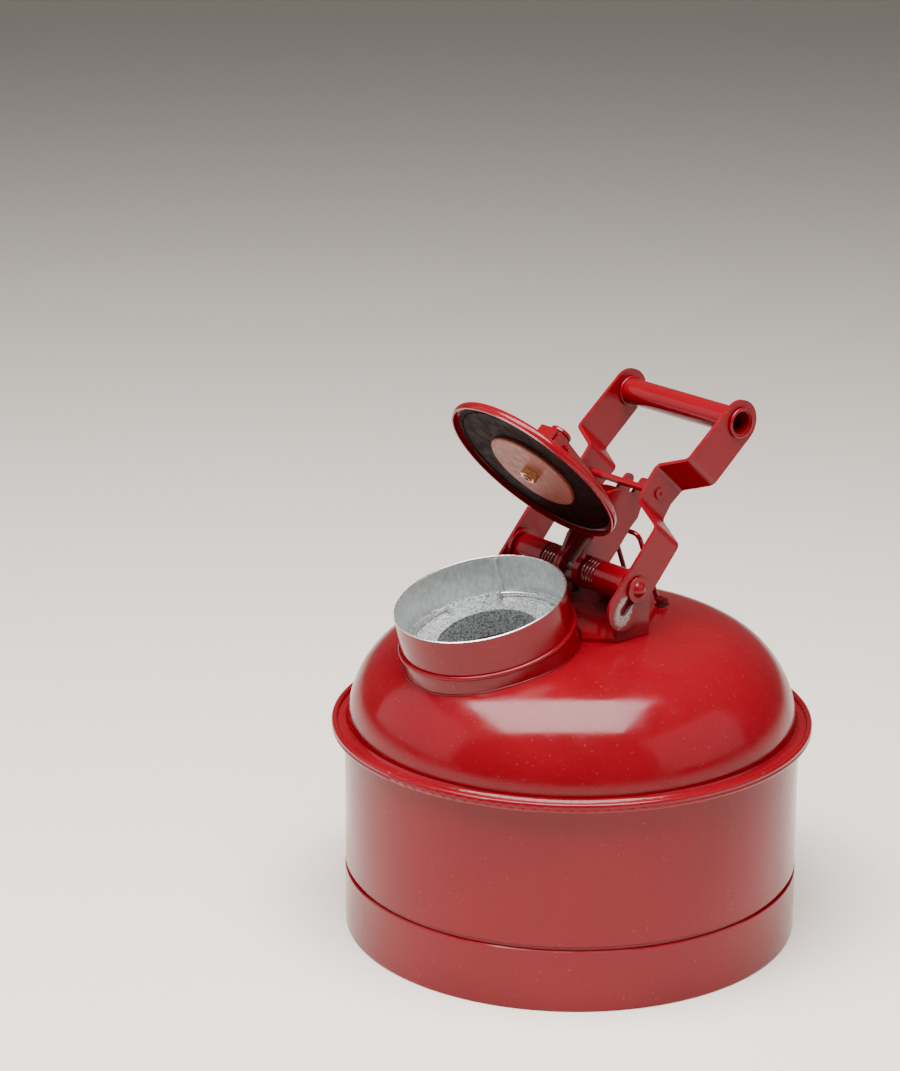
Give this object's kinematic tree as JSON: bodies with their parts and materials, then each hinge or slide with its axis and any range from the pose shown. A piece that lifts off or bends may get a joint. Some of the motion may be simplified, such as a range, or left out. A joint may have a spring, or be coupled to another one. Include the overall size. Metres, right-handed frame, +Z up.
{
  "type": "safety can",
  "caption": "Short red steel safety can with a domed top, tilted wide neck, flame arrester, sprung swing lid held open, and a lifting handle with a cross rod.",
  "frame": {"origin": "centre of the can's footprint, on the floor", "axes": "+Z up; the neck is on the -Y side; the hinge pin and the grip lie along X"},
  "size_m": [0.3022, 0.3022, 0.3505],
  "materials": {
    "red_enamel": "gloss",
    "dark_enamel": "gloss",
    "galvanised": "satin",
    "bright_steel": "satin",
    "dark_mesh": "matte",
    "copper_plate": "satin",
    "brass": "satin",
    "dark_rubber": "satin"
  },
  "bodies": {
    "can": {"body_shell": "red_enamel", "base_skirt": "red_enamel", "bottom_pan": "red_enamel", "top_dome": "red_enamel", "seam_ring": "red_enamel", "neck_tube": "galvanised", "neck_collar": "red_enamel", "arrester_cup": "galvanised", "arrester_screen": "dark_mesh", "retaining_wire": "bright_steel", "hinge_bracket": "red_enamel", "hinge_pin": "bright_steel", "pin_washers": "red_enamel", "spacer_left": "red_enamel", "spacer_right": "red_enamel", "spring_left": "dark_enamel", "spring_right": "dark_enamel", "wire_clips": "red_enamel"},
    "arm": {"lid_arm": "red_enamel", "arm_doublers": "red_enamel", "stud_sleeve": "dark_enamel"},
    "lid": {"lid_disc": "red_enamel", "lid_gasket": "dark_rubber", "gasket_retainer": "copper_plate", "lid_stud": "red_enamel", "stud_washer": "red_enamel", "stud_nut": "brass"},
    "handle": {"handle_arm_left": "red_enamel", "handle_arm_right": "red_enamel", "grip_tube": "red_enamel", "cross_rod": "red_enamel"},
    "keeper": {"hold_open_wire": "dark_enamel"}
  },
  "joints": [
    {"name": "lid_hinge", "type": "hinge", "parent": "can", "child": "arm", "pos_m": [0, 0.0035, 0.233], "axis": [1, 0, 0], "range_deg": [0, 64.1]},
    {"name": "lid_swivel", "type": "hinge", "parent": "arm", "child": "lid", "pos_m": [0, -0.0352, 0.3017], "axis": [0, 0.7627, 0.6468], "continuous": true},
    {"name": "handle_lift", "type": "slide", "parent": "arm", "child": "handle", "axis": [0, 0.6717, 0.7408], "range_m": [0, 0.015]},
    {"name": "keeper_hinge", "type": "hinge", "parent": "can", "child": "keeper", "pos_m": [0, 0.0605, 0.2034], "axis": [1, 0, 0], "range_deg": [-118, 0]}
  ]
}
